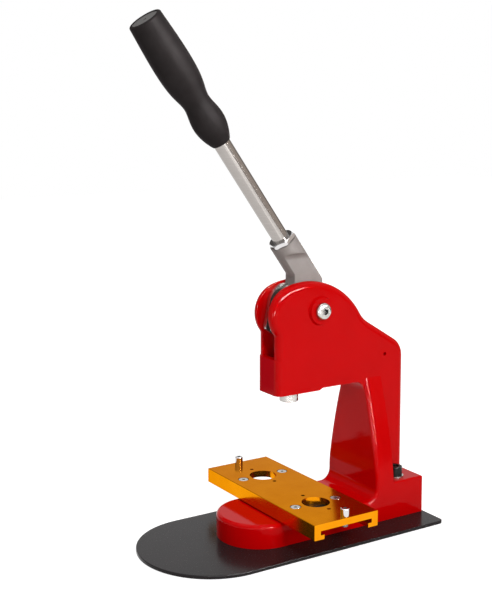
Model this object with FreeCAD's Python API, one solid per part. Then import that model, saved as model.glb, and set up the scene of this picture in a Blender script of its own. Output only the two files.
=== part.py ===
import FreeCAD, Part
import math
import os

# Hand lever press with a sliding die plate. Millimetres.
# Origin: on the ground, straight under the axis of the ram.
# X runs along the die plate, the user stands on the -Y side, Z is up.

V = FreeCAD.Vector
X_AXIS = V(1, 0, 0)
Y_AXIS = V(0, 1, 0)
Z_AXIS = V(0, 0, 1)
DOWN = V(0, 0, -1)

# ---------------------------------------------------------------- driving dimensions

# Mat and base plate
mat_thickness = 0.7
mat_inset = 1.2
plate_width = 122.5
plate_length = 255.7
plate_thickness = 2.5
plate_edge_r = 0.5
plate_corner_r = 4.5
plate_rear_margin = 1.2

# Casting: foot, heel and column
foot_width = 70.0
foot_reach = 65.0           # ram axis to the tip of the nose
deck_height = 19.2          # foot above the base plate
heel_height = 31.8
heel_step = 6.9             # heel behind the back of the column
heel_corner_r = 1.6
throat_depth = 67.3         # ram axis to the front of the column
throat_height = 99.6        # deck to the roof of the throat
throat_r = 9.0
foot_fillet_r = 9.5
web_depth = 17.7            # flared front of the column
column_depth = 44.0
flare_start = 13.6          # above the deck
flare_kick_r = 70.0
flare_kick_angle = 9.0
flare_r = 500.0
front_edge_r = 3.2
rear_edge_r = 1.5

# Casting: head
head_width = 31.0
head_front = 20.8           # ram axis to the front of the ears
nose_pad_proud = 0.9        # closed block below the slot stands proud of the ears
nose_pad_height = 29.7
head_step = 1.7             # head block hangs below the roof of the throat
head_step_y = 22.0
pivot_y = 21.1              # ram axis to lever pivot
pivot_height = 67.3         # head underside to lever pivot
ear_y = -2.6
ear_r = 24.3
ear_root_r = 4.0
crown_y = 9.6
crown_drop = 39.4           # centre of the crown arc below the pivot
crown_r = 64.1
crown_blend_r = 28.0
shoulder_rise = 28.6        # corner of the sloping back above the head underside
shoulder_slope = 31.6
shoulder_r = 18.0
head_edge_r = 5.8
slot_edge_r = 1.0
boss_r = 12.6
boss_top_r = 11.2
boss_height = 2.4
side_hole_r = 1.5
side_hole_inset = 21.6      # from the back of the column
side_hole_rise = 22.4       # above the head underside

# Lever slot and ram passage
slot_rear_clearance = 1.4
slot_floor_height = 25.7    # above the head underside
slot_lip = 6.0
bush_length = 11.0
bush_r = 10.0

# Ram
ram_r = 6.0
ram_nose_r = 8.0
ram_nose_height = 8.6
ram_nose_edge_r = 0.5
ram_cap_r = 7.9
ram_cap_height = 6.0
ram_cap_edge_r = 0.6
ram_spigot_r = 3.5
ram_spigot_length = 4.0
ram_socket_r = 4.0
ram_socket_depth = 8.0
cap_pin_r = 1.0
cap_pin_height = 2.0        # above the underside of the cap
spring_wire_r = 0.75
spring_coils = 5.5
ram_screw_r = 2.0
ram_screw_length = 3.4
ram_screw_inset = 0.2
ram_screw_hex_af = 2.0
ram_screw_hex_depth = 2.0

# Lever casting
press_angle = 42.0          # swing of the lever, from up to pressed
lobe_run_in = 8.0           # the working face goes on past the lever-up position, degrees
hub_width = 15.0
hub_r = 14.0
lobe_gap = 6.4
lobe_drop = 22.9            # pivot to the ram end of the lobes, lever up
lobe_top_y = 0.4
lobe_top_rise = 4.8
lobe_top_r = 17.6
lobe_tip_r = 2.0
neck_width = 13.5
neck_front = 0.85
neck_depth = 27.8
neck_corner_r = 6.0
lean = 35.5                 # handle from the vertical
handle_offset = 11.0        # handle axis behind the pivot
socket_r = 11.75
socket_bottom = 34.5        # along the handle, from the foot of the pivot
socket_top = 63.0
flat_top_rise = 49.0        # top of the neck flats above the pivot
flat_runout_r = 6.0

# Lever rod, lock nut and grip
rod_r = 7.0
rod_top = 249.5
rod_thread_r = 6.0
rod_thread_depth = 13.5
locknut_af = 20.4
locknut_height = 4.0
locknut_turn = -12.0
nut_bevel = 30.0            # slope of the turned ends of a nut
grip_bottom = 164.5
grip_top = 279.0
grip_end_r = 13.6
grip_swell_r = 15.2
grip_waist_r = 11.0
grip_heel_r = 13.3
grip_nose_r = 8.0
grip_end_round = 1.6
cap_r = 10.8
cap_thickness = 3.0
cap_recess = 0.6
cap_vent_r = 1.6

# Pivot
pivot_sleeve_r = 6.0
pivot_screw_r = 4.0
pivot_head_r = 7.15
pivot_head_height = 4.4
pivot_head_round = 3.0
pivot_hex_af = 5.0
pivot_hex_depth = 2.6
pivot_washer_r = 8.0
pivot_washer_t = 1.6
pivot_nut_af = 13.0
pivot_nut_height = 8.0
shim_thickness = 0.5
shim_r = 11.5

# Die plate
die_plate_length = 160.6
die_plate_width = 62.0
die_plate_height = 12.35
die_web = 5.5
die_leg = 6.0
die_lip = 3.5
die_edge = 0.4
die_hole_r = 11.6
die_pin_pitch = 36.0
die_pin_r = 1.6
die_screw_pitch = 40.0
die_screw_head_r = 4.1
die_screw_head_height = 2.8
die_screw_pocket_r = 4.6
die_screw_r = 2.0
die_screw_length = 2.4
die_screw_hex_af = 2.5
deck_gap = 0.95             # under the lips of the die plate
stop_end_inset = 4.2        # stop screw to the end of the die plate
stop_offset = 1.4           # stop screws stand off the centre line, one to each side
stop_head_r = 3.5
stop_head_height = 6.6
stop_hex_af = 3.0
stop_r = 2.5
stop_reach = 2.8            # below the web, to meet the end of the rail

# Slide rail
rail_end_inset = 0.5        # end of the rail to the side of the foot
rail_side_gap = 0.3
rail_top_gap = 0.1
rail_lip_gap = 0.15
rail_screw_pitch = 40.0
rail_screw_r = 2.5
rail_screw_head_r = 4.6
rail_screw_length = 16.0
rail_screw_hex_af = 3.0

# Heel bolts, clinch nuts and nose screws
heel_bolt_spread = 23.3
heel_bolt_setback = 14.9    # in front of the back of the column
heel_bolt_r = 4.0
heel_bolt_head_r = 6.0
heel_bolt_head_height = 8.0
heel_bolt_hex_af = 6.0
heel_washer_r = 7.2
heel_washer_t = 1.6
clinch_r = 6.5
clinch_neck_r = 5.5
clinch_height = 5.0
nose_screw_pitch = 30.0
nose_screw_y = -35.0
nose_screw_r = 2.5
nose_screw_head_r = 4.6
nose_screw_length = 14.0
nose_screw_hex_af = 3.0
screw_rim_share = 0.08      # rounding of a screw head, of its height
screw_hex_share = 0.55      # depth of the hexagon, of the head height
sunk_hex_share = 0.8        # the same in a countersunk head

# Clearances
fit = 0.05                  # running and screwed fits, on the radius
hole_clearance = 0.5        # bolts in plain holes, on the radius
seat_gap = 0.1              # flat faces that turn or slide
contact_gap = 0.3           # curved faces that work against each other
slot_clearance = 0.6        # lever hub to each ear, before the shims
overlap = 1.0               # bodies that are joined or cut run this far into each other
tiny = 1e-3

# ---------------------------------------------------------------- derived places

floor_z = mat_thickness + plate_thickness
deck_z = floor_z + deck_height
heel_z = floor_z + heel_height
throat_z = deck_z + throat_height
head_z = throat_z - head_step
slot_floor_z = head_z + slot_floor_height
pad_top_z = head_z + nose_pad_height
pivot_z = head_z + pivot_height
pivot = V(0, pivot_y, pivot_z)

column_back = throat_depth + column_depth
web_back = throat_depth + web_depth
heel_back = column_back + heel_step
plate_back = heel_back + plate_rear_margin
plate_front = plate_back - plate_length

half_foot = foot_width / 2
half_head = head_width / 2
half_slot = hub_width / 2 + slot_clearance + seat_gap
slot_rear = pivot_y + hub_r + slot_rear_clearance
boss_face = half_head + boss_height

bush_top = head_z + bush_length
contact_z = pivot_z - lobe_drop
ram_top_z = contact_z - contact_gap
cap_bottom_z = ram_top_z - ram_cap_height
ram_nose_top_z = head_z - 2 * seat_gap
ram_bottom_z = ram_nose_top_z - ram_nose_height
spring_bore_r = half_slot
ram_stroke = pivot_y * math.radians(press_angle)

die_bottom_z = deck_z + deck_gap
die_top_z = die_bottom_z + die_plate_height
die_under_z = die_top_z - die_web
stop_x = die_plate_length / 2 - stop_end_inset
rail_half_length = half_foot - rail_end_inset
station_x = stop_x - stop_r - seat_gap - rail_half_length
rail_top_z = die_under_z - rail_top_gap
rail_flange_z = die_bottom_z + die_lip + rail_lip_gap
heel_bolt_y = column_back - heel_bolt_setback

lean_rad = math.radians(lean)
handle_dir = V(0, -math.sin(lean_rad), math.cos(lean_rad))
handle_side = V(0, math.cos(lean_rad), math.sin(lean_rad))
handle_foot = pivot + handle_side * handle_offset


# ---------------------------------------------------------------- helpers

def line(a, b):
    return Part.LineSegment(a, b).toShape()


def arc(centre, radius, start, end, plane="YZ"):
    """Arc about centre from angle start to angle end, in degrees."""
    points = []
    for angle in (start, (start + end) / 2, end):
        c = radius * math.cos(math.radians(angle))
        s = radius * math.sin(math.radians(angle))
        step = {"YZ": V(0, c, s), "XY": V(c, s, 0), "XZ": V(c, 0, s)}[plane]
        points.append(centre + step)
    return Part.Arc(*points).toShape()


def chain(*items):
    """Closed wire through points and arcs, in order, joined by straight lines."""
    edges = []
    here = None
    first = None
    for item in items:
        is_point = isinstance(item, FreeCAD.Vector)
        start = item if is_point else item.firstVertex(True).Point
        if first is None:
            first = start
        if here is not None and start.distanceToPoint(here) > tiny / 1000:
            edges.append(line(here, start))
        here = start
        if not is_point:
            edges.append(item)
            here = item.lastVertex(True).Point
    if here.distanceToPoint(first) > tiny / 1000:
        edges.append(line(here, first))
    return Part.Wire(edges)


def prism(wire, direction):
    return Part.Face(wire).extrude(direction)


def slab_x(wire, half_width):
    """Prism of a YZ outline, from -half_width to half_width along X."""
    body = prism(wire, V(2 * half_width, 0, 0))
    body.translate(V(-half_width, 0, 0))
    return body


def cylinder(radius, base, end):
    return Part.makeCylinder(radius, base.distanceToPoint(end), base, end - base)


def cone(r1, r2, base, end):
    return Part.makeCone(r1, r2, base.distanceToPoint(end), base, end - base)


def box(low, high):
    return Part.makeBox(high.x - low.x, high.y - low.y, high.z - low.z, low)


def hexagon(across_flats, base, end):
    """Hexagonal prism from base to end."""
    corner = across_flats / math.sqrt(3)
    points = []
    for k in range(6):
        angle = math.radians(60 * k)
        points.append(V(corner * math.cos(angle), corner * math.sin(angle), 0))
    body = prism(Part.makePolygon(points + points[:1]), V(0, 0, base.distanceToPoint(end)))
    body.Placement = FreeCAD.Placement(base, FreeCAD.Rotation(Z_AXIS, end - base))
    return body


def hex_nut(across_flats, hole_r, base, end, turn=0.0):
    """Hexagonal nut with turned ends, its corners turned about its own axis by turn degrees."""
    half = base.distanceToPoint(end) / 2
    round_r = across_flats / 2
    wide_r = round_r + half / math.tan(math.radians(nut_bevel))
    middle = (base + end) / 2
    ends = cone(wide_r, round_r, middle, base).fuse(cone(wide_r, round_r, middle, end))
    body = hexagon(across_flats, base, end)
    body.rotate(base, end - base, turn)
    return body.common(ends).cut(cylinder(hole_r, base, end))


def fuse(first, *others):
    return first.multiFuse(list(others)).removeSplitter()


def cut(body, *tools):
    return body.cut(Part.makeCompound(list(tools)))


def mirrored_pair(shape, normal=X_AXIS):
    return [shape, shape.mirror(V(0, 0, 0), normal)]


def round_edges(body, radius, wanted):
    """Round the edges for which wanted(edge) is true."""
    edges = [e for e in body.Edges if wanted(e)]
    return body.makeFillet(radius, edges)


def on_plane(edge, axis, place):
    """True if the edge lies in the plane axis = place."""
    b = edge.BoundBox
    low = {"x": b.XMin, "y": b.YMin, "z": b.ZMin}[axis]
    high = {"x": b.XMax, "y": b.YMax, "z": b.ZMax}[axis]
    return abs(low - place) < tiny and abs(high - place) < tiny


def socket_screw(head_r, head_h, shank_r, shank_length, hex_af, top):
    """Socket head screw that points down, with the top of its head at top."""
    under = top + DOWN * head_h
    head = Part.makeCylinder(head_r, head_h, under)
    rim = [e for e in head.Edges if on_plane(e, "z", top.z)]
    head = head.makeFillet(head_h * screw_rim_share, rim)
    body = fuse(head, cylinder(shank_r, under, under + DOWN * shank_length))
    return body.cut(hexagon(hex_af, top + DOWN * (head_h * screw_hex_share), top))


def countersunk_screw(head_r, shank_r, length, hex_af, top, direction):
    """Flat head screw whose head face is centred on top."""
    head_h = head_r - shank_r
    head = cone(head_r, shank_r, top, top + direction * head_h)
    body = fuse(head, cylinder(shank_r, top, top + direction * length))
    return body.cut(hexagon(hex_af, top, top + direction * (head_h * sunk_hex_share)))


def countersunk_hole(head_r, shank_r, length, top, direction):
    """Space for a countersunk screw, fit wider all round."""
    head_h = head_r - shank_r
    sink = cone(head_r + fit, shank_r + fit, top, top + direction * head_h)
    return sink.fuse(cylinder(shank_r + fit, top, top + direction * (length + hole_clearance)))


# ---------------------------------------------------------------- places of fasteners

heel_bolt_tops = [
    V(side * heel_bolt_spread, heel_bolt_y, heel_z + heel_washer_t + heel_bolt_head_height)
    for side in (-1, 1)
]
nose_screw_tops = [V(side * nose_screw_pitch / 2, nose_screw_y, mat_thickness) for side in (-1, 1)]
rail_screw_tops = [V(side * rail_screw_pitch / 2, 0, rail_top_z - seat_gap) for side in (-1, 1)]
die_screw_tops = [
    V(side * station_x, row * die_screw_pitch / 2, die_top_z)
    for side in (-1, 1)
    for row in (-1, 1)
]
stop_tops = [
    V(side * stop_x, side * stop_offset, die_top_z + stop_head_height) for side in (-1, 1)
]


# ---------------------------------------------------------------- mat and base plate

def plate_outline(inset, z):
    """Round front, square back with small corners."""
    half = plate_width / 2 - inset
    back = plate_back - inset
    nose = V(0, plate_front + plate_width / 2, z)
    r = plate_corner_r
    return chain(
        arc(nose, half, 180, 360, "XY"),
        arc(V(half - r, back - r, z), r, 0, 90, "XY"),
        arc(V(r - half, back - r, z), r, 90, 180, "XY"),
    )


def anti_slip_mat():
    body = prism(plate_outline(mat_inset, 0), V(0, 0, mat_thickness))
    holes = []
    for tops, radius in ((nose_screw_tops, nose_screw_head_r), (heel_bolt_tops, clinch_neck_r)):
        for t in tops:
            low = V(t.x, t.y, 0)
            holes.append(cylinder(radius + hole_clearance, low, low + Z_AXIS * mat_thickness))
    return cut(body, *holes)


def base_plate():
    body = prism(plate_outline(0, mat_thickness), V(0, 0, plate_thickness))
    holes = [
        countersunk_hole(nose_screw_head_r, nose_screw_r, nose_screw_length, t, Z_AXIS)
        for t in nose_screw_tops
    ]
    holes += [
        cylinder(clinch_neck_r, V(t.x, t.y, 0), V(t.x, t.y, floor_z)) for t in heel_bolt_tops
    ]
    body = round_edges(body, plate_edge_r, lambda e: on_plane(e, "z", floor_z))
    return cut(body, *holes)


def clinch_nuts():
    nuts = []
    for t in heel_bolt_tops:
        neck = cylinder(clinch_neck_r, V(t.x, t.y, mat_thickness), V(t.x, t.y, floor_z))
        body = cylinder(clinch_r, V(t.x, t.y, floor_z), V(t.x, t.y, floor_z + clinch_height))
        bore = cylinder(heel_bolt_r + fit, V(t.x, t.y, 0), V(t.x, t.y, heel_z))
        nuts.append(fuse(neck, body).cut(bore))
    return nuts


# ---------------------------------------------------------------- casting

def flare_outline():
    """Front view of foot and column: straight sides that draw in to the head."""
    kick_z = deck_z + flare_start
    kick = math.radians(flare_kick_angle)
    join = V(
        half_foot - flare_kick_r * (1 - math.cos(kick)),
        0,
        kick_z + flare_kick_r * math.sin(kick),
    )
    centre = join - V(math.cos(kick), 0, math.sin(kick)) * flare_r
    top_x = half_head - front_edge_r
    top_angle = math.degrees(math.acos((top_x - centre.x) / flare_r))
    right = [
        arc(V(half_foot - flare_kick_r, 0, kick_z), flare_kick_r, 0, flare_kick_angle, "XZ"),
        arc(centre, flare_r, flare_kick_angle, top_angle, "XZ"),
    ]
    left_centre = V(-centre.x, 0, centre.z)
    left = [
        arc(left_centre, flare_r, 180 - top_angle, 180 - flare_kick_angle, "XZ"),
        arc(
            V(flare_kick_r - half_foot, 0, kick_z),
            flare_kick_r,
            180 - flare_kick_angle,
            180,
            "XZ",
        ),
    ]
    floor_right = V(half_foot, 0, floor_z)
    floor_left = V(-half_foot, 0, floor_z)
    return chain(floor_left, floor_right, *right, *left)


def foot_plan():
    nose = V(0, half_foot - foot_reach, floor_z)
    r = heel_corner_r
    return chain(
        arc(nose, half_foot, 180, 360, "XY"),
        arc(V(half_foot - r, heel_back - r, floor_z), r, 0, 90, "XY"),
        arc(V(r - half_foot, heel_back - r, floor_z), r, 90, 180, "XY"),
    )


def foot_and_web():
    """Foot, heel and flared front of the column, with rounded edges."""
    top = pad_top_z
    side = chain(
        V(0, -foot_reach, floor_z),
        V(0, -foot_reach, deck_z),
        arc(
            V(0, throat_depth - foot_fillet_r, deck_z + foot_fillet_r),
            foot_fillet_r,
            -90,
            0,
        ),
        V(0, throat_depth, top),
        V(0, web_back, top),
        V(0, web_back, heel_z),
        V(0, heel_back, heel_z),
        V(0, heel_back, floor_z),
    )
    plan = prism(foot_plan(), V(0, 0, top))
    front_wire = flare_outline()
    front = prism(front_wire, V(0, heel_back + foot_reach, 0))
    front.translate(V(0, -foot_reach, 0))
    body = slab_x(side, half_foot).common(plan).common(front)

    def front_chain(edge):
        b = edge.BoundBox
        if on_plane(edge, "z", deck_z):
            return b.XLength > half_foot or b.YLength > half_foot
        outside = min(abs(b.XMin), abs(b.XMax)) > half_head - front_edge_r - overlap
        steep = b.ZMin > deck_z - tiny and b.ZLength > overlap and b.YMax < throat_depth + tiny
        return outside and steep

    def rear_chain(edge):
        return on_plane(edge, "z", heel_z) and edge.BoundBox.YMax > web_back + overlap

    body = round_edges(body, front_edge_r, front_chain)
    return round_edges(body, rear_edge_r, rear_chain)


def head_outline():
    """Side view of head and spine, from the front foot of the head round the top."""
    crown = V(0, crown_y, pivot_z - crown_drop)
    reach = crown_r - ear_r
    ear = V(0, ear_y, crown.z + math.sqrt(reach ** 2 - (ear_y - crown_y) ** 2))
    ear_end = math.degrees(math.atan2(ear.z - crown.z, ear.y - crown.y))

    root = V(0, -head_front - ear_root_r, 0)
    root.z = ear.z - math.sqrt((ear_r + ear_root_r) ** 2 - (root.y - ear.y) ** 2)
    root_angle = math.degrees(math.atan2(ear.z - root.z, ear.y - root.y))

    slope = math.radians(shoulder_slope)
    corner = V(0, column_back, head_z + shoulder_rise)
    along = V(0, -math.cos(slope), math.sin(slope))
    normal = V(0, math.sin(slope), math.cos(slope))
    # Centre of the hollow: crown_blend_r off the slope, and outside the crown arc.
    start = corner + normal * crown_blend_r - crown
    b = start.dot(along)
    c = start.dot(start) - (crown_r + crown_blend_r) ** 2
    hollow = crown + start + along * (-b - math.sqrt(b * b - c))
    crown_end = math.degrees(math.atan2(hollow.z - crown.z, hollow.y - crown.y))
    hollow_start = crown_end + 180
    hollow_end = 270 - shoulder_slope

    turn = math.radians(90 - shoulder_slope)
    shoulder = V(0, column_back - shoulder_r, corner.z - shoulder_r * math.tan(turn / 2))
    throat = V(0, throat_depth - throat_r, throat_z - throat_r)
    inside = V(0, (throat_depth + web_back) / 2, throat.z)
    return chain(
        V(0, -head_front, head_z),
        arc(root, ear_root_r, 0, root_angle),
        arc(ear, ear_r, root_angle + 180, ear_end),
        arc(crown, crown_r, ear_end, crown_end),
        arc(hollow, crown_blend_r, hollow_start, hollow_end),
        arc(shoulder, shoulder_r, 90 - shoulder_slope, 0),
        V(0, column_back, floor_z + deck_height / 2),
        V(0, inside.y, floor_z + deck_height / 2),
        inside,
        arc(throat, throat_r, 0, 90),
        V(0, head_step_y + head_step, throat_z),
        V(0, head_step_y - head_step, head_z),
    )


def head_and_spine():
    body = slab_x(head_outline(), half_head)

    def outer_rim(edge):
        b = edge.BoundBox
        on_side = on_plane(edge, "x", half_head) or on_plane(edge, "x", -half_head)
        front = b.YMax < -head_front + tiny
        top = b.ZMin > head_z + shoulder_rise / 2 and b.ZMax > pad_top_z - head_edge_r
        back = b.YMin > column_back - tiny
        arch = b.YMin > column_back - shoulder_r - overlap and b.ZMin > throat_z
        return on_side and (front or top or back or arch)

    return round_edges(body, head_edge_r, outer_rim)


def nose_pad():
    pad = box(
        V(-half_head, -head_front - nose_pad_proud, head_z),
        V(half_head, 0, pad_top_z),
    )
    front_y = -head_front - nose_pad_proud
    upright = lambda e: e.BoundBox.ZLength > nose_pad_height / 2
    return round_edges(pad, head_edge_r, lambda e: upright(e) and on_plane(e, "y", front_y))


def frame():
    boss_root = V(half_head - overlap, pivot_y, pivot_z)
    boss = cone(boss_r, boss_top_r, boss_root, V(boss_face, pivot_y, pivot_z))
    body = fuse(foot_and_web(), head_and_spine(), nose_pad(), *mirrored_pair(boss))

    far_front = -head_front - ear_r
    slot_front = slot_lip - head_front - nose_pad_proud
    far_corner = V(half_slot, slot_rear, pivot_z + crown_r)
    slot = [
        box(V(-half_slot, slot_front, slot_floor_z), far_corner),
        box(V(-half_slot, far_front, pad_top_z), far_corner),
    ]
    ram_way = [
        cylinder(bush_r, V(0, 0, head_z), V(0, 0, bush_top)),
        cylinder(spring_bore_r, V(0, 0, bush_top), V(0, 0, pad_top_z)),
    ]
    side_hole = V(0, column_back - side_hole_inset, head_z + side_hole_rise)
    across = V(head_width, 0, 0)
    cross = [
        cylinder(pivot_sleeve_r + fit, pivot - across, pivot + across),
        cylinder(side_hole_r, side_hole - across, side_hole + across),
    ]
    screws = [
        countersunk_hole(rail_screw_head_r, rail_screw_r, rail_screw_length, t, DOWN)
        for t in rail_screw_tops
    ]
    screws += [
        countersunk_hole(nose_screw_head_r, nose_screw_r, nose_screw_length, t, Z_AXIS)
        for t in nose_screw_tops
    ]
    for t in heel_bolt_tops:
        screws.append(cylinder(heel_bolt_r + hole_clearance, V(t.x, t.y, floor_z), t))
        screws.append(
            cylinder(
                clinch_r + hole_clearance,
                V(t.x, t.y, floor_z),
                V(t.x, t.y, floor_z + clinch_height + hole_clearance),
            )
        )
    body = cut(body, *slot)

    def slot_rim(edge):
        b = edge.BoundBox
        on_side = on_plane(edge, "x", half_slot) or on_plane(edge, "x", -half_slot)
        outline = b.YMax < -head_front + tiny or b.ZMin > pivot_z
        open_side = b.ZMin > pad_top_z - tiny and b.YMin < slot_rear - tiny
        return on_side and outline and open_side and b.DiagonalLength > 2 * slot_edge_r

    body = round_edges(body, slot_edge_r, slot_rim)
    return cut(body, *ram_way, *cross, *screws)


# ---------------------------------------------------------------- casting hardware

def heel_bolts():
    length = heel_washer_t + heel_z - mat_thickness
    size = (heel_bolt_head_r, heel_bolt_head_height, heel_bolt_r, length, heel_bolt_hex_af)
    return [socket_screw(*size, t) for t in heel_bolt_tops]


def heel_washers():
    rings = []
    for t in heel_bolt_tops:
        low = V(t.x, t.y, heel_z)
        high = low + Z_AXIS * heel_washer_t
        rings.append(cylinder(heel_washer_r, low, high).cut(cylinder(heel_bolt_r + fit, low, high)))
    return rings


def nose_screws():
    size = (nose_screw_head_r, nose_screw_r, nose_screw_length, nose_screw_hex_af)
    return [countersunk_screw(*size, t, Z_AXIS) for t in nose_screw_tops]


def slide_rail():
    """T-section, its flange under the lips of the die plate."""
    flange = die_plate_width / 2 - die_leg - rail_side_gap
    neck = flange - die_lip
    outline = Part.makePolygon([
        V(0, -neck, deck_z),
        V(0, neck, deck_z),
        V(0, neck, rail_flange_z),
        V(0, flange, rail_flange_z),
        V(0, flange, rail_top_z),
        V(0, -flange, rail_top_z),
        V(0, -flange, rail_flange_z),
        V(0, -neck, rail_flange_z),
        V(0, -neck, deck_z),
    ])
    body = slab_x(outline, rail_half_length)
    holes = []
    for t in rail_screw_tops:
        holes.append(countersunk_hole(rail_screw_head_r, rail_screw_r, rail_screw_length, t, DOWN))
        holes.append(cylinder(rail_screw_head_r + fit, t, t + Z_AXIS))
    return cut(body, *holes)


def rail_screws():
    size = (rail_screw_head_r, rail_screw_r, rail_screw_length, rail_screw_hex_af)
    return [countersunk_screw(*size, t, DOWN) for t in rail_screw_tops]


# ---------------------------------------------------------------- die plate

def die_plate():
    half = die_plate_width / 2
    inner = half - die_leg
    lip = inner - die_lip
    lip_z = die_bottom_z + die_lip
    e = die_edge
    outline = Part.makePolygon([
        V(0, -half, die_bottom_z + e),
        V(0, -half + e, die_bottom_z),
        V(0, -lip, die_bottom_z),
        V(0, -lip, lip_z),
        V(0, -inner, lip_z),
        V(0, -inner, die_under_z),
        V(0, inner, die_under_z),
        V(0, inner, lip_z),
        V(0, lip, lip_z),
        V(0, lip, die_bottom_z),
        V(0, half - e, die_bottom_z),
        V(0, half, die_bottom_z + e),
        V(0, half, die_top_z - e),
        V(0, half - e, die_top_z),
        V(0, -half + e, die_top_z),
        V(0, -half, die_top_z - e),
        V(0, -half, die_bottom_z + e),
    ])
    body = slab_x(outline, die_plate_length / 2)
    through = V(0, 0, die_web)
    holes = []
    for side in (-1, 1):
        centre = V(side * station_x, 0, die_under_z)
        holes.append(cylinder(die_hole_r, centre, centre + through))
        for pin_side in (-1, 1):
            pin = centre + X_AXIS * (pin_side * die_pin_pitch / 2)
            holes.append(cylinder(die_pin_r, pin, pin + through))
    for t in die_screw_tops:
        pocket = t + DOWN * (die_screw_head_height + seat_gap)
        holes.append(cylinder(die_screw_pocket_r, pocket, t))
        holes.append(cylinder(die_screw_r + fit, t - through, t))
    for t in stop_tops:
        holes.append(cylinder(stop_r + fit, V(t.x, t.y, die_under_z), V(t.x, t.y, die_top_z)))
    return cut(body, *holes)


def die_screws():
    size = (die_screw_head_r, die_screw_head_height, die_screw_r, die_screw_length)
    return [socket_screw(*size, die_screw_hex_af, t + DOWN * seat_gap) for t in die_screw_tops]


def stop_screws():
    size = (stop_head_r, stop_head_height, stop_r, die_web + stop_reach, stop_hex_af)
    return [socket_screw(*size, t) for t in stop_tops]


# ---------------------------------------------------------------- pivot

def pivot_screw():
    """Button head on the +X boss, shank through the nut on the other side."""
    under = pivot + X_AXIS * boss_face
    outer = under + X_AXIS * pivot_head_height
    tip = pivot - X_AXIS * (boss_face + pivot_washer_t + pivot_nut_height + seat_gap)
    head = cylinder(pivot_head_r, under, outer)
    head = round_edges(head, pivot_head_round, lambda e: on_plane(e, "x", outer.x))
    body = fuse(head, cylinder(pivot_screw_r, tip, outer + X_AXIS * -pivot_hex_depth))
    return body.cut(hexagon(pivot_hex_af, outer - X_AXIS * pivot_hex_depth, outer))


def ring_x(outer_r, inner_r, x_start, x_end):
    """Ring about the pivot axis, between two places along X."""
    a = pivot + X_AXIS * x_start
    b = pivot + X_AXIS * x_end
    return cylinder(outer_r, a, b).cut(cylinder(inner_r, a, b))


def pivot_sleeve():
    return ring_x(pivot_sleeve_r, pivot_screw_r + fit, -boss_face, boss_face)


def pivot_washer():
    return ring_x(pivot_washer_r, pivot_screw_r + fit, -boss_face - pivot_washer_t, -boss_face)


def pivot_nut():
    a = pivot - X_AXIS * (boss_face + pivot_washer_t)
    return hex_nut(pivot_nut_af, pivot_screw_r + fit, a, a - X_AXIS * pivot_nut_height)


def hub_shims():
    start = hub_width / 2 + seat_gap
    shim = ring_x(shim_r, pivot_sleeve_r + fit, start, start + shim_thickness)
    return mirrored_pair(shim)


# ---------------------------------------------------------------- lever

def lobe_point(angle):
    """Point of the lobe, lever up, that meets the ram when the lever stands at angle.

    The lobe is an involute of a circle as wide as the pivot is from the ram axis,
    so the ram moves by the same amount for each degree.
    """
    turned = math.radians(angle)
    drop = lobe_drop + pivot_y * turned
    y = -pivot_y * math.cos(turned) - drop * math.sin(turned)
    z = -drop * math.cos(turned) + pivot_y * math.sin(turned)
    return pivot + V(0, y, z)


def lobe_outline():
    steps = 10
    swing = press_angle + lobe_run_in
    angles = [press_angle - swing * k / steps for k in range(steps + 1)]
    working = Part.BSplineCurve()
    working.interpolate([lobe_point(a) for a in angles])
    face = working.toShape()
    top = V(0, lobe_top_y, pivot_z + lobe_top_rise)
    tip = lobe_point(press_angle)
    # The tip is rounded, starting along the end of the working face.
    tip_turn = math.radians(press_angle)
    inward = V(0, math.sin(tip_turn), math.cos(tip_turn))
    tip_centre = tip + inward * lobe_tip_r
    tip_round = arc(tip_centre, lobe_tip_r, 180, 270 - press_angle)
    return chain(
        V(0, pivot_y - hub_r / 2, top.z + lobe_top_r),
        arc(top, lobe_top_r, 90, 180),
        tip_round,
        face,
        pivot + V(0, 0, overlap - hub_r),
        pivot,
    )


def neck_outline():
    """Side view of the flat neck, from the hub up into the socket."""
    neck_back = neck_front + neck_depth
    behind = handle_foot + handle_side * socket_r
    knee_rise = (behind.y - neck_back) / math.tan(lean_rad)
    knee_z = behind.z + knee_rise
    centre_z = knee_z - neck_corner_r * math.tan(lean_rad / 2)
    centre = V(0, neck_back - neck_corner_r, centre_z)
    top = handle_foot + handle_dir * (socket_bottom + socket_r)
    return chain(
        V(0, neck_front, pivot_z + lobe_top_rise),
        V(0, neck_front, (handle_foot + handle_dir * socket_bottom).z),
        top - handle_side * (socket_r / 2),
        top + handle_side * socket_r,
        arc(centre, neck_corner_r, lean, 0),
        V(0, neck_back, pivot_z),
        V(0, pivot_y - hub_r / 2, pivot_z),
    )


def neck():
    """Flat neck whose back keeps the round of the socket."""
    body = slab_x(neck_outline(), neck_width / 2)
    low = handle_foot - handle_dir * socket_r
    high = handle_foot + handle_dir * socket_top
    back = cylinder(socket_r, low, high)
    front = Part.makeBox(2 * socket_r, socket_top, socket_top + socket_r)
    front.Placement = FreeCAD.Placement(
        low - X_AXIS * socket_r - handle_side * socket_top,
        FreeCAD.Rotation(X_AXIS, lean),
    )
    return body.common(back.fuse(front))


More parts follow.
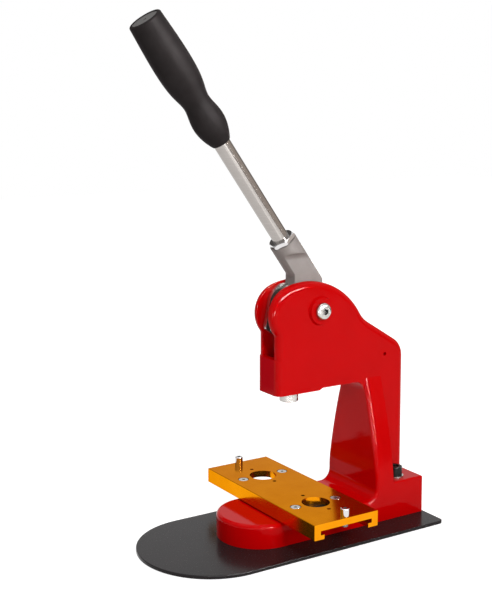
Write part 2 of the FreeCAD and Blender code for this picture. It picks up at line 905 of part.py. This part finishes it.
def lever_arm():
    socket = cylinder(
        socket_r,
        handle_foot + handle_dir * socket_bottom,
        handle_foot + handle_dir * socket_top,
    )
    half_neck = neck_width / 2
    flat_z = pivot_z + flat_top_rise - flat_runout_r
    wide = half_neck + flat_runout_r
    trim = chain(
        V(half_neck, 0, pivot_z),
        V(half_neck, 0, flat_z),
        arc(V(wide, 0, flat_z), flat_runout_r, 180, 90, "XZ"),
        V(wide + socket_r, 0, flat_z + flat_runout_r),
        V(wide + socket_r, 0, pivot_z),
    )
    trim_body = prism(trim, V(0, -2 * socket_top, 0))
    trim_body.translate(V(0, pivot_y + socket_top, 0))
    socket = cut(socket, *mirrored_pair(trim_body))

    half_hub = hub_width / 2
    hub = cylinder(hub_r, pivot - X_AXIS * half_hub, pivot + X_AXIS * half_hub)
    lobe = prism(lobe_outline(), X_AXIS * (half_hub - lobe_gap / 2))
    lobe.translate(X_AXIS * (lobe_gap / 2))
    body = fuse(hub, neck(), socket, *mirrored_pair(lobe))

    bore = cylinder(
        rod_thread_r + fit,
        handle_foot + handle_dir * (socket_top - rod_thread_depth - hole_clearance),
        handle_foot + handle_dir * (socket_top + overlap),
    )
    pin = cylinder(pivot_sleeve_r + fit, pivot - X_AXIS * hub_width, pivot + X_AXIS * hub_width)
    return cut(body, bore, pin)


def along_handle(shape):
    """Move a shape built up the Z axis onto the handle axis."""
    shape.Placement = FreeCAD.Placement(handle_foot, FreeCAD.Rotation(X_AXIS, lean))
    return shape


def rod_locknut():
    low = V(0, 0, socket_top)
    high = V(0, 0, socket_top + locknut_height)
    return along_handle(hex_nut(locknut_af, rod_thread_r + fit, low, high, locknut_turn))


def lever_rod():
    shoulder = socket_top + locknut_height + seat_gap
    thread = cylinder(rod_thread_r, V(0, 0, socket_top - rod_thread_depth), V(0, 0, shoulder))
    bar = cylinder(rod_r, V(0, 0, shoulder), V(0, 0, rod_top))
    return along_handle(fuse(bar, thread))


def grip_profile():
    """Outer line of the grip, nose to end: radius, and height as a share of the length."""
    length = grip_top - grip_bottom
    stations = [
        (grip_nose_r, 0.0),
        (grip_nose_r / 4 + grip_heel_r * 3 / 4, 0.09),
        (grip_heel_r, 0.165),
        ((grip_heel_r + grip_waist_r) / 2, 0.26),
        (grip_waist_r, 0.33),
        ((grip_waist_r + grip_swell_r) / 2, 0.43),
        (grip_waist_r / 10 + grip_swell_r * 9 / 10, 0.53),
        (grip_swell_r, 0.67),
        ((grip_swell_r + grip_end_r) / 2, 0.86),
        (grip_end_r, 1.0 - grip_end_round / length),
    ]
    return [V(r, 0, grip_bottom + share * length) for r, share in stations]


def grip():
    points = grip_profile()
    side = Part.BSplineCurve()
    side.interpolate(points)
    round_centre = points[-1] - X_AXIS * grip_end_round
    outline = chain(
        V(0, 0, grip_bottom),
        side.toShape(),
        arc(round_centre, grip_end_round, 0, 90, "XZ"),
        V(0, 0, grip_top),
    )
    body = Part.Face(outline).revolve(V(0, 0, 0), Z_AXIS, 360)
    bore = cylinder(rod_r + fit, V(0, 0, grip_bottom), V(0, 0, rod_top + hole_clearance))
    cap_seat = grip_top - cap_recess - cap_thickness
    recess = cylinder(cap_r + fit, V(0, 0, cap_seat), V(0, 0, grip_top))
    return along_handle(cut(body, bore, recess))


def grip_cap():
    top = V(0, 0, grip_top - cap_recess)
    under = top - Z_AXIS * cap_thickness
    disc = cylinder(cap_r, under, top)
    return along_handle(cut(disc, cylinder(cap_vent_r, under, top)))


# ---------------------------------------------------------------- ram

def ram():
    """Stem with a wide nose; the nose has the socket for an upper die."""
    nose = cylinder(ram_nose_r, V(0, 0, ram_bottom_z), V(0, 0, ram_nose_top_z))
    nose = round_edges(nose, ram_nose_edge_r, lambda e: on_plane(e, "z", ram_bottom_z))
    stem = cylinder(ram_r, V(0, 0, ram_nose_top_z), V(0, 0, cap_bottom_z))
    seat = V(0, 0, cap_bottom_z)
    spigot = cylinder(ram_spigot_r, seat, seat + Z_AXIS * ram_spigot_length)
    mouth = V(0, 0, ram_bottom_z)
    socket = cylinder(ram_socket_r, mouth, mouth + Z_AXIS * ram_socket_depth)
    screw_z = ram_bottom_z + ram_socket_depth / 2
    tapped = cylinder(ram_screw_r + fit, V(0, 0, screw_z), V(-ram_nose_r - overlap, 0, screw_z))
    return cut(fuse(nose, stem, spigot), socket, tapped, cap_pin_way(fit))


def cap_pin_way(extra):
    z = cap_bottom_z + cap_pin_height
    half = ram_cap_r - cap_pin_r
    return cylinder(cap_pin_r + extra, V(0, -half, z), V(0, half, z))


def ram_set_screw():
    z = ram_bottom_z + ram_socket_depth / 2
    outer = V(ram_screw_inset - ram_nose_r, 0, z)
    inner = outer + X_AXIS * ram_screw_length
    key = hexagon(ram_screw_hex_af, outer, outer + X_AXIS * ram_screw_hex_depth)
    return cylinder(ram_screw_r, inner, outer).cut(key)


def ram_head():
    """Hard cap that the lobes push."""
    body = cylinder(ram_cap_r, V(0, 0, cap_bottom_z), V(0, 0, ram_top_z))
    body = round_edges(body, ram_cap_edge_r, lambda e: on_plane(e, "z", ram_top_z))
    thread = cylinder(
        ram_spigot_r + fit,
        V(0, 0, cap_bottom_z),
        V(0, 0, cap_bottom_z + ram_spigot_length + seat_gap),
    )
    return cut(body, thread, cap_pin_way(fit))


def ram_head_pin():
    return cap_pin_way(0)


def ram_bush():
    low = V(0, 0, head_z)
    high = V(0, 0, bush_top)
    return cylinder(bush_r, low, high).cut(cylinder(ram_r + fit, low, high))


def ram_spring():
    """Compression spring between the bush and the cap."""
    mean_r = (ram_r + spring_bore_r) / 2
    low = bush_top + spring_wire_r + seat_gap
    high = cap_bottom_z - spring_wire_r - seat_gap
    helix = Part.makeHelix((high - low) / spring_coils, high - low, mean_r)
    section = Part.Wire(Part.makeCircle(spring_wire_r, V(mean_r, 0, 0), Y_AXIS))
    body = Part.Wire(helix).makePipeShell([section], True, True)
    body.translate(V(0, 0, low))
    return body


# ---------------------------------------------------------------- export

nodes = {
    "anti_slip_mat": anti_slip_mat(),
    "base_plate": base_plate(),
    "clinch_nuts": clinch_nuts(),
    "frame": frame(),
    "heel_bolts": heel_bolts(),
    "heel_washers": heel_washers(),
    "nose_screws": nose_screws(),
    "slide_rail": slide_rail(),
    "rail_screws": rail_screws(),
    "die_plate": die_plate(),
    "die_screws": die_screws(),
    "stop_screws": stop_screws(),
    "pivot_screw": pivot_screw(),
    "pivot_sleeve": pivot_sleeve(),
    "pivot_washer": pivot_washer(),
    "pivot_nut": pivot_nut(),
    "hub_shims": hub_shims(),
    "lever_arm": lever_arm(),
    "rod_locknut": rod_locknut(),
    "lever_rod": lever_rod(),
    "grip": grip(),
    "grip_cap": grip_cap(),
    "ram": ram(),
    "ram_set_screw": ram_set_screw(),
    "ram_head": ram_head(),
    "ram_head_pin": ram_head_pin(),
    "ram_bush": ram_bush(),
    "ram_spring": ram_spring(),
}

os.makedirs("parts", exist_ok=True)
for name, shape in nodes.items():
    solids = Part.makeCompound(shape) if isinstance(shape, list) else shape
    solids.exportStep(os.path.join("parts", name + ".step"))
    valid = "" if solids.isValid() else "  INVALID"
    print(f"{name}: {len(solids.Solids)} solids, {solids.Volume:.0f} mm3{valid}")
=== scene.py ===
import math

import bpy
from mathutils import Matrix, Quaternion, Vector


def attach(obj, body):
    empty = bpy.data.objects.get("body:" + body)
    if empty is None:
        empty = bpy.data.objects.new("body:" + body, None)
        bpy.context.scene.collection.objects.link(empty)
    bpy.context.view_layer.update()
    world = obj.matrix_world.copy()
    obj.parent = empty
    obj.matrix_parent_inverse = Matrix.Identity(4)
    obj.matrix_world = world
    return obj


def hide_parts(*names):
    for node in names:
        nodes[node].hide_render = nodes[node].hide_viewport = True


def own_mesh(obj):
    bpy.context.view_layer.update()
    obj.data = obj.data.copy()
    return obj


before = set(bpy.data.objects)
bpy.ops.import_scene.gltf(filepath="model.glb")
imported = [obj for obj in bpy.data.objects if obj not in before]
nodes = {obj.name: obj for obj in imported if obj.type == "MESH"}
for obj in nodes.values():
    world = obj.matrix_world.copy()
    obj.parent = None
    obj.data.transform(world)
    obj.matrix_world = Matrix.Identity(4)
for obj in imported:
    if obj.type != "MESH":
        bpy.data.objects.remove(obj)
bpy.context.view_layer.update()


# ---------------------------------------------------------------- base plate
# Pressed steel sheet, 2.5 mm thick, with a round front. It is powder coated in satin black,
# which is smooth enough to mirror the casting softly and shows a fine stipple close up.

mm_per_metre = 1000
patches_low = 0.3
patches_high = 0.7


def linear(hex_colour):
    """sRGB hex to the linear colour that a shader takes."""
    channels = [int(hex_colour[i:i + 2], 16) / 255 for i in (1, 3, 5)]
    return [c / 12.92 if c <= 0.04045 else ((c + 0.055) / 1.055) ** 2.4 for c in channels] + [1.0]


def add(tree, kind, values=None, links=None, **settings):
    """Add a node with its settings, input values and incoming links."""
    made = tree.nodes.new(kind)
    for name, value in settings.items():
        setattr(made, name, value)
    for name, value in (values or {}).items():
        made.inputs[name].default_value = value
    for name, source in (links or {}).items():
        tree.links.new(source, made.inputs[name])
    return made


def new_material(name, colour, **finish):
    """Material of one Principled shader, with its finish given by socket names in snake case."""
    material = bpy.data.materials.new(name)
    material.use_nodes = True
    shader = material.node_tree.nodes["Principled BSDF"]
    shader.inputs["Base Color"].default_value = linear(colour)
    for socket, value in finish.items():
        shader.inputs[socket.replace("_", " ").title().replace("Ior", "IOR")].default_value = value
    return material, shader


def uneven(shader, size_mm, detail=2.0, stretch=(1, 1, 1), turn=(0, 0, 0),
           colours=None, roughness=None, depth_mm=None):
    """Vary a finish in patches about size_mm across, which are fixed to the piece.

    The colours and the roughness run from the first value to the second, and the surface
    rises by depth_mm.
    """
    tree = shader.id_data
    place = add(tree, "ShaderNodeTexCoord")
    turned = add(
        tree, "ShaderNodeMapping", {"Rotation": turn, "Scale": stretch},
        {"Vector": place.outputs["Object"]},
    )
    patches = add(
        tree, "ShaderNodeTexNoise", {"Scale": mm_per_metre / size_mm, "Detail": detail},
        {"Vector": turned.outputs["Vector"]},
    ).outputs["Fac"]
    if colours:
        ramp = add(tree, "ShaderNodeValToRGB", None, {"Fac": patches})
        levels = (patches_low, patches_high)
        for stop, level, colour in zip(ramp.color_ramp.elements, levels, colours):
            stop.position = level
            stop.color = linear(colour)
        tree.links.new(ramp.outputs["Color"], shader.inputs["Base Color"])
    if roughness:
        ranged = add(
            tree, "ShaderNodeMapRange",
            {"From Min": patches_low, "From Max": patches_high,
             "To Min": roughness[0], "To Max": roughness[1]},
            {"Value": patches},
        )
        tree.links.new(ranged.outputs["Result"], shader.inputs["Roughness"])
    if depth_mm:
        bump = add(
            tree, "ShaderNodeBump", {"Distance": depth_mm / mm_per_metre}, {"Height": patches}
        )
        tree.links.new(bump.outputs["Normal"], shader.inputs["Normal"])


def dress(node_name, material, other=None, is_other=None):
    """Give a node its finish, and another one to the faces whose centre passes is_other."""
    mesh = nodes[node_name].data
    mesh.materials.clear()
    mesh.materials.append(material)
    if other:
        mesh.materials.append(other)
        for face in mesh.polygons:
            face.material_index = int(is_other(face.center))


powder_coat, shader = new_material(
    "satin_black_powder_coat", "#201C1D", roughness=0.2, specular_ior_level=0.11,
)
uneven(shader, 30.0, colours=("#1D191A", "#231E1F"))
uneven(shader, 0.9, roughness=(0.16, 0.28), depth_mm=0.006)
dress("base_plate", powder_coat)


# ---------------------------------------------------------------- anti-slip mat
# Thin sheet of nitrile rubber glued under the base plate, a little smaller than the plate.
# It is matt black with the coarse weave of the press cloth in it.

mat_rubber, shader = new_material("calendered_nitrile_rubber", "#171717", roughness=0.85)
uneven(shader, 1.2, colours=("#131313", "#1C1C1B"), depth_mm=0.05)
dress("anti_slip_mat", mat_rubber)


# ---------------------------------------------------------------- casting
# One grey iron casting: foot, heel, column and the forked head. It is ground smooth and
# sprayed with glossy red enamel, so it has soft edges, a clear mirror and a trace of orange peel.

enamel, shader = new_material(
    "glossy_red_enamel", "#C80002", roughness=0.07, specular_ior_level=0.055,
)
uneven(shader, 45.0, colours=("#C40002", "#CC0003"))
uneven(shader, 2.4, roughness=(0.06, 0.11), depth_mm=0.003)
dress("frame", enamel)


# ---------------------------------------------------------------- rail and screws of the casting
# Socket head bolts hold the heel to clinch nuts in the plate, flat heads hold the nose and rail.
# They and the rail are steel with black oxide, an oiled dark film with smudges of lighter grey.
# The nuts and washers are bright zinc plate, with a faint spangle.

black_oxide, shader = new_material(
    "black_oxide_steel", "#1B1A1A", metallic=0.6, roughness=0.34, specular_ior_level=0.1,
)
uneven(shader, 2.0, detail=4.0, colours=("#161515", "#242221"), roughness=(0.28, 0.42))
for name in ("heel_bolts", "nose_screws", "slide_rail", "rail_screws"):
    dress(name, black_oxide)

zinc, shader = new_material("bright_zinc_plate", "#B4B2AE", metallic=1.0, roughness=0.2)
uneven(shader, 1.5, detail=3.0, colours=("#A9A7A3", "#BEBCB8"), roughness=(0.16, 0.26))
for name in ("heel_washers", "clinch_nuts"):
    dress(name, zinc)


# ---------------------------------------------------------------- die plate
# Milled aluminium channel, brushed along its length, polished and anodised gold. It mirrors the
# casting and its screws with a slight smear. The brushing is drawn coarser than it is.

gold, shader = new_material("gold_anodised_aluminium", "#DC8A0C", metallic=1.0, roughness=0.17)
shader.inputs["Specular Tint"].default_value = linear("#CCBAB8")
uneven(shader, 20.0, colours=("#D8860A", "#E08E0F"))
uneven(shader, 0.5, detail=3.0, stretch=(0.04, 1, 1), roughness=(0.14, 0.2), depth_mm=0.0015)
dress("die_plate", gold)


# ---------------------------------------------------------------- screws of the die plate
# Four small zinc plated screws, sunk beside the die holes, and two upright screws of polished
# chrome that stop the plate at its ends. Their key sockets and their threads under the plate are
# painted dark, as painted shade.

# Dark finish that paints shade into key sockets and under the die plate.
recess_shade, shader = new_material("painted_recess_shade", "#1E1B18", roughness=0.5)
uneven(shader, 1.0, colours=("#171412", "#28231F"))


def in_upright_key(places, reach, low, high):
    """Test for the faces down in the key sockets of upright screws at these places.

    The faces lie within reach of a screw's axis, and between the low and the high level.
    """
    def inside(centre):
        off_axis = min(math.hypot(centre.x - x, centre.y - y) for x, y in places)
        return off_axis < reach and low < centre.z < high
    return inside


station_x = 0.039
die_screw_y = 0.02
die_screw_places = [(x, y) for x in (-station_x, station_x) for y in (-die_screw_y, die_screw_y)]
die_key_r = 0.0015
die_key_low_z = 0.033
die_key_high_z = 0.03555
in_die_key = in_upright_key(die_screw_places, die_key_r, die_key_low_z, die_key_high_z)
# The key sockets of the die screws get the painted shade.
dress("die_screws", zinc, recess_shade, in_die_key)

chrome, shader = new_material("polished_chrome", "#C8C6C6", metallic=1.0, roughness=0.06)
uneven(shader, 6.0, roughness=(0.04, 0.09))

stop_places = [(-0.0761, -0.0014), (0.0761, 0.0014)]
stop_key_r = 0.0018
stop_key_low_z = 0.038
stop_key_high_z = 0.04225
plate_underside_z = 0.0312
in_stop_key = in_upright_key(stop_places, stop_key_r, stop_key_low_z, stop_key_high_z)


def in_painted_shade(centre):
    """True for the key sockets of the stop screws and their threads under the die plate, which get
    painted shade.
    """
    return centre.z < plate_underside_z or in_stop_key(centre)


# The key sockets and the threads under the plate get the painted shade.
dress("stop_screws", chrome, recess_shade, in_painted_shade)


# ---------------------------------------------------------------- ram bush
# The bush that guides the ram is sintered bronze, pressed into the head of the casting. Its
# pores are drawn coarser than they are, so that they show.

bronze, shader = new_material("sintered_bronze", "#A8763F", metallic=1.0, roughness=0.4)
uneven(shader, 0.8, detail=3.0, colours=("#966836", "#B58249"))
dress("ram_bush", bronze)


# ---------------------------------------------------------------- ram
# Short round ram of ground steel, bright grey, with a hardened cap that is pinned on its top and
# a black grub screw in its nose. The lines of the grinding are drawn coarser than they are.

ground_steel, shader = new_material("ground_steel", "#B2AEAA", metallic=1.0, roughness=0.24)
uneven(
    shader, 0.5, detail=3.0, stretch=(0.08, 0.08, 1),
    colours=("#A8A4A0", "#B9B6B2"), roughness=(0.18, 0.32), depth_mm=0.006,
)
for name in ("ram", "ram_head", "ram_head_pin"):
    dress(name, ground_steel)
dress("ram_set_screw", black_oxide)


# ---------------------------------------------------------------- return spring
# Coil of drawn round wire between the bush and the cap of the ram, plain grey. It hangs on
# the ram and moves with it as one piece.

spring_wire, shader = new_material("drawn_spring_wire", "#9C9A97", metallic=1.0, roughness=0.3)
uneven(shader, 1.0, colours=("#8E8C89", "#A6A4A1"))

coil_tree = bpy.data.node_groups.new("coil_of_wire", "GeometryNodeTree")
coil_inputs = {}
for label, kind in (("Coils", "NodeSocketFloat"), ("Coil Radius", "NodeSocketFloat"),
                    ("Height", "NodeSocketFloat"), ("Wire Radius", "NodeSocketFloat"),
                    ("Finish", "NodeSocketMaterial")):
    made = coil_tree.interface.new_socket(label, in_out="INPUT", socket_type=kind)
    coil_inputs[label] = made.identifier
coil_tree.interface.new_socket("Mesh", in_out="OUTPUT", socket_type="NodeSocketGeometry")
given = add(coil_tree, "NodeGroupInput").outputs
points_a_coil = 48
points_round_wire = 16
path = add(
    coil_tree, "GeometryNodeCurveSpiral", {"Resolution": points_a_coil},
    {"Rotations": given["Coils"], "Start Radius": given["Coil Radius"],
     "End Radius": given["Coil Radius"], "Height": given["Height"]},
)
section = add(
    coil_tree, "GeometryNodeCurvePrimitiveCircle", {"Resolution": points_round_wire},
    {"Radius": given["Wire Radius"]},
)
wire = add(
    coil_tree, "GeometryNodeCurveToMesh", {"Fill Caps": True},
    {"Curve": path.outputs["Curve"], "Profile Curve": section.outputs["Curve"]},
)
smooth = add(coil_tree, "GeometryNodeSetShadeSmooth", None, {0: wire.outputs["Mesh"]})
real = add(coil_tree, "GeometryNodeRealizeInstances", None, {0: smooth.outputs[0]})
finished = add(
    coil_tree, "GeometryNodeSetMaterial", None, {0: real.outputs[0], "Material": given["Finish"]}
)
add(coil_tree, "NodeGroupOutput", None, {0: finished.outputs[0]})


def built(name, tree, identifiers, values):
    """Object with the mesh that a geometry node tree makes from these named values."""
    blank = bpy.data.objects.new(name, bpy.data.meshes.new(name))
    bpy.context.scene.collection.objects.link(blank)
    maker = blank.modifiers.new("maker", "NODES")
    maker.node_group = tree
    for label, value in values.items():
        maker[identifiers[label]] = value
    shown = blank.evaluated_get(bpy.context.evaluated_depsgraph_get())
    mesh = bpy.data.meshes.new_from_object(shown)
    blank.modifiers.remove(maker)
    blank.data = mesh
    return blank


coils = 6.5
coil_radius = 0.0071
wire_radius = 0.00075
end_gap = 0.0001
bush_top = 0.1313
cap_bottom = 0.1584
spring_low = bush_top + wire_radius + end_gap
spring_high = cap_bottom - wire_radius - end_gap
spring_values = {
    "Coils": coils, "Coil Radius": coil_radius, "Height": spring_high - spring_low,
    "Wire Radius": wire_radius, "Finish": spring_wire,
}
spring = built("return_spring", coil_tree, coil_inputs, spring_values)
spring.data.transform(Matrix.Translation((0, 0, spring_low)))
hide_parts("ram_spring")
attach(spring, "ram")
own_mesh(spring)


# ---------------------------------------------------------------- lever casting
# Investment cast steel, blasted and nickel plated: hub, flat neck and round socket. The blasting
# leaves a warm matt grey with hardly any mirror, and its grain is drawn coarser than it is. The
# two lobes are milled and ground where they press the ram, so they are bright.

cast_steel, shader = new_material(
    "blasted_nickel_steel", "#8C8480", roughness=0.5, specular_ior_level=0.12,
)
uneven(shader, 12.0, colours=("#88807C", "#908884"))
uneven(shader, 0.7, detail=3.0, roughness=(0.45, 0.55), depth_mm=0.01)

milled_steel, shader = new_material(
    "milled_nickel_steel", "#CFCAC6", metallic=1.0, roughness=0.24,
)
uneven(
    shader, 0.4, detail=3.0, stretch=(0.1, 1, 1),
    colours=("#C8C3BF", "#D6D1CD"), roughness=(0.22, 0.26),
)

lobe_top_z = 0.2105
lobe_inner_x = 0.003
neck_side_x = 0.00675
on_neck_within = 0.00005


def on_lobe(centre):
    """True for the faces of the lobes, and not for the flat neck between them."""
    across = abs(centre.x)
    on_neck = abs(across - neck_side_x) < on_neck_within
    return centre.z < lobe_top_z and across > lobe_inner_x and not on_neck


dress("lever_arm", cast_steel, milled_steel, on_lobe)


# ---------------------------------------------------------------- pivot
# Hard ground sleeve through both ears, with shims of rolled brass beside the hub of the lever.
# A button head screw, a washer and a nut hold it. They are zinc plated, and the key socket of
# the screw is painted dark, as painted shade.

dress("pivot_sleeve", ground_steel)

brass, shader = new_material("rolled_brass", "#C9A055", metallic=1.0, roughness=0.3)
uneven(shader, 3.0, colours=("#BD944B", "#D2AA60"))
dress("hub_shims", brass)

for name in ("pivot_washer", "pivot_nut"):
    dress(name, zinc)

pivot_y = 0.0211
pivot_z = 0.1876
pivot_key_r = 0.0029
pivot_key_low_x = 0.0195
pivot_key_high_x = 0.02225


def in_pivot_key(centre):
    """True for the faces down in the key socket of the pivot screw."""
    off_axis = math.hypot(centre.y - pivot_y, centre.z - pivot_z)
    return off_axis < pivot_key_r and pivot_key_low_x < centre.x < pivot_key_high_x


# The key socket of the pivot screw gets the painted shade.
dress("pivot_screw", zinc, recess_shade, in_pivot_key)


# ---------------------------------------------------------------- rod and lock nut
# Turned and polished steel bar, screwed into the lever casting and locked there by a chrome
# hexagon nut. The rings that the turning leaves round the bar are drawn coarser than they are.

handle_lean = math.radians(35.5)
turned_bar, shader = new_material("turned_steel_bar", "#9C9793", metallic=1.0, roughness=0.12)
uneven(
    shader, 0.6, detail=3.0, stretch=(0.05, 0.05, 1), turn=(-handle_lean, 0, 0),
    colours=("#98938F", "#A09B97"),
)
dress("lever_rod", turned_bar)
dress("rod_locknut", chrome)


# ---------------------------------------------------------------- grip
# Moulded soft PVC pushed over the rod, black with a low sheen. A dark grey ABS disc with a
# vent hole closes its end.

soft_pvc, shader = new_material(
    "moulded_soft_pvc", "#2A2626", roughness=0.5, specular_ior_level=0.015,
)
uneven(shader, 9.0, colours=("#282424", "#2D2929"))
uneven(shader, 0.8, roughness=(0.47, 0.53), depth_mm=0.004)
dress("grip", soft_pvc)

grey_abs, shader = new_material("moulded_grey_abs", "#6A6867", roughness=0.35)
uneven(shader, 4.0, colours=("#666463", "#6E6C6B"))
dress("grip_cap", grey_abs)


# ---------------------------------------------------------------- table top
# White paper on a table. It keeps the shadow of the press and is plain white for the camera
# and in the gloss of the metal.

white = linear("#FFFFFF")


def seen_directly(tree):
    """1 for the rays of the camera and those through gloss or glass, 0 for those that light."""
    rays = add(tree, "ShaderNodeLightPath")
    mirrored = add(
        tree, "ShaderNodeMath", None,
        {0: rays.outputs["Is Glossy Ray"], 1: rays.outputs["Is Transmission Ray"]},
        operation="MAXIMUM",
    )
    return add(
        tree, "ShaderNodeMath", None,
        {0: rays.outputs["Is Camera Ray"], 1: mirrored.outputs["Value"]}, operation="MAXIMUM",
    ).outputs["Value"]


def white_to_camera(material, shade, glow):
    """Plain white paper that keeps its shadows and fades to pure white for the camera."""
    material.use_nodes = True
    tree = material.node_tree
    tree.nodes.clear()
    diffuse = add(tree, "ShaderNodeBsdfDiffuse", {"Color": linear(shade)})
    light = add(tree, "ShaderNodeEmission", {"Color": white, "Strength": glow})
    none = add(tree, "ShaderNodeEmission", {"Strength": 0.0})
    extra = add(
        tree, "ShaderNodeMixShader", None,
        {0: seen_directly(tree), 1: none.outputs["Emission"], 2: light.outputs["Emission"]},
    )
    both = add(
        tree, "ShaderNodeAddShader", None, {0: diffuse.outputs["BSDF"], 1: extra.outputs["Shader"]}
    )
    add(tree, "ShaderNodeOutputMaterial", None, {"Surface": both.outputs["Shader"]})


floor_half = 3.0
floor_mesh = bpy.data.meshes.new("table_top")
corners = [(x * floor_half, y * floor_half, 0) for x, y in ((-1, -1), (1, -1), (1, 1), (-1, 1))]
floor_mesh.from_pydata(corners, [], [(0, 1, 2, 3)])
paper = bpy.data.materials.new("white_paper")
white_to_camera(paper, shade="#DCDCDC", glow=0.72)
floor_mesh.materials.append(paper)
table_top = bpy.data.objects.new("table_top", floor_mesh)
bpy.context.scene.collection.objects.link(table_top)


# ---------------------------------------------------------------- lamps and white room
# One long soft light on the right, a broad one from above, and a pale room that fills the
# shadows. The room is plain white for the camera.

def soft_light(name, place, target, width, height, roll, power):
    """Rectangular light that faces the target, its height turned by roll degrees."""
    lamp = bpy.data.lights.new(name, "AREA")
    lamp.shape = "RECTANGLE"
    lamp.size = width
    lamp.size_y = height
    lamp.energy = power
    holder = bpy.data.objects.new(name, lamp)
    facing = (Vector(target) - Vector(place)).to_track_quat("-Z", "Y")
    holder.rotation_euler = (facing @ Quaternion((0, 0, 1), math.radians(roll))).to_euler()
    holder.location = place
    bpy.context.scene.collection.objects.link(holder)


middle = (0.0, 0.02, 0.2)
soft_light(
    "right_light", (1.36, -0.12, 0.95), middle, width=0.1, height=1.2, roll=40.0, power=15.0,
)
soft_light(
    "top_light", (-0.2, -0.3, 1.8), middle, width=1.2, height=1.2, roll=0.0, power=7.0,
)

room_glow = 0.42
plain_white = 1.0
world = bpy.data.worlds.new("white_room")
bpy.context.scene.world = world
world.use_nodes = True
tree = world.node_tree
tree.nodes.clear()
room = add(tree, "ShaderNodeBackground", {"Color": white, "Strength": room_glow})
wall = add(tree, "ShaderNodeBackground", {"Color": white, "Strength": plain_white})
mixed = add(
    tree, "ShaderNodeMixShader", None,
    {0: seen_directly(tree), 1: room.outputs["Background"], 2: wall.outputs["Background"]},
)
add(tree, "ShaderNodeOutputWorld", None, {"Surface": mixed.outputs["Shader"]})


# ---------------------------------------------------------------- cards and soft boxes
# Grey boards, soft boxes and papers round the table, as a studio has them. They show only in
# the gloss of the press, where they give the enamel and the metals their lines and shades.

card_steps = 12
first_bounce = 1.0
second_bounce = 2.0


def card(name, azimuths, distance, heights, shade, strength=plain_white, far=None):
    """Card bent round the table between two azimuths in degrees, counted from +X to +Y.

    It stands between two heights in metres, or leans or lies with its high edge far out. It
    shows in the gloss of the press and nowhere else, and no stronger than white in a
    reflection of a reflection.
    """
    first, last = azimuths
    low, high = heights
    far = far or distance
    rows = []
    for k in range(card_steps + 1):
        turn = math.radians(first + (last - first) * k / card_steps)
        x, y = math.cos(turn), math.sin(turn)
        rows += [(distance * x, distance * y, low), (far * x, far * y, high)]
    mesh = bpy.data.meshes.new(name)
    faces = [(2 * k, 2 * k + 2, 2 * k + 3, 2 * k + 1) for k in range(card_steps)]
    mesh.from_pydata(rows, [], faces)
    matt = bpy.data.materials.new(name)
    matt.use_nodes = True
    tree = matt.node_tree
    tree.nodes.clear()
    rays = add(tree, "ShaderNodeLightPath")
    fading = add(
        tree, "ShaderNodeMapRange",
        {"From Min": first_bounce, "From Max": second_bounce,
         "To Min": strength, "To Max": plain_white},
        {"Value": rays.outputs["Ray Depth"]},
    )
    flat = add(
        tree, "ShaderNodeEmission", {"Color": linear(shade)}, {"Strength": fading.outputs["Result"]}
    )
    add(tree, "ShaderNodeOutputMaterial", None, {"Surface": flat.outputs["Emission"]})
    mesh.materials.append(matt)
    board = bpy.data.objects.new(name, mesh)
    board.visible_camera = False
    board.visible_diffuse = False
    board.visible_shadow = False
    board.visible_transmission = False
    bpy.context.scene.collection.objects.link(board)


card("left_card", (-168.0, -124.0), 1.6, (0.0, 1.4), "#BCBCBC")
card("right_card", (20.0, 125.0), 1.2, (0.0, 0.2), "#A79B93")
card("high_right_card", (20.0, 125.0), 1.2, (0.2, 1.0), "#DDD2CA")
card("dark_card", (95.0, 125.0), 1.15, (0.0, 1.0), "#857B74")
card("back_card", (160.0, 205.0), 1.2, (0.78, 1.45), "#5A5856")
card("soft_box", (-5.0, 33.0), 1.1, (0.44, 0.8), "#FFFFFF", strength=130.0)
card("small_soft_box", (-42.0, -24.0), 1.1, (0.1, 0.32), "#FFFFFF", strength=40.0)
card("low_soft_box", (-74.0, -46.0), 1.1, (0.0, 0.25), "#FFFFFF", strength=6.0)
card("table_edge", (-4.0, 14.0), 1.15, (0.0, 0.08), "#FFFFFF", strength=5.0)
card("table_glow", (-13.0, 6.0), 0.3, (0.002, 0.003), "#FFFFFF", strength=2.0, far=0.85)
card("rose_paper", (-155.0, -138.0), 0.46, (0.002, 0.003), "#B86C9C", far=0.95)


# ---------------------------------------------------------------- camera
# It stands to the front right of the press, a little above the middle of its height, and
# looks slightly down. Angles are in degrees, places in metres, lens and sensor in millimetres.

lens_mm = 67.684
sensor_mm = 36.0
frame_shift = -0.14
nearest_seen = 0.05
camera_place = (0.762609, -0.528041, 0.36578)
looks_down = 6.234
heading = 57.507

lens = bpy.data.cameras.new("camera")
lens.lens = lens_mm
lens.sensor_width = sensor_mm
lens.shift_y = frame_shift
lens.clip_start = nearest_seen
camera = bpy.data.objects.new("camera", lens)
camera.location = camera_place
camera.rotation_euler = (math.radians(90 - looks_down), 0, math.radians(heading))
bpy.context.scene.collection.objects.link(camera)
bpy.context.scene.camera = camera
bpy.context.scene.view_settings.view_transform = "Standard"
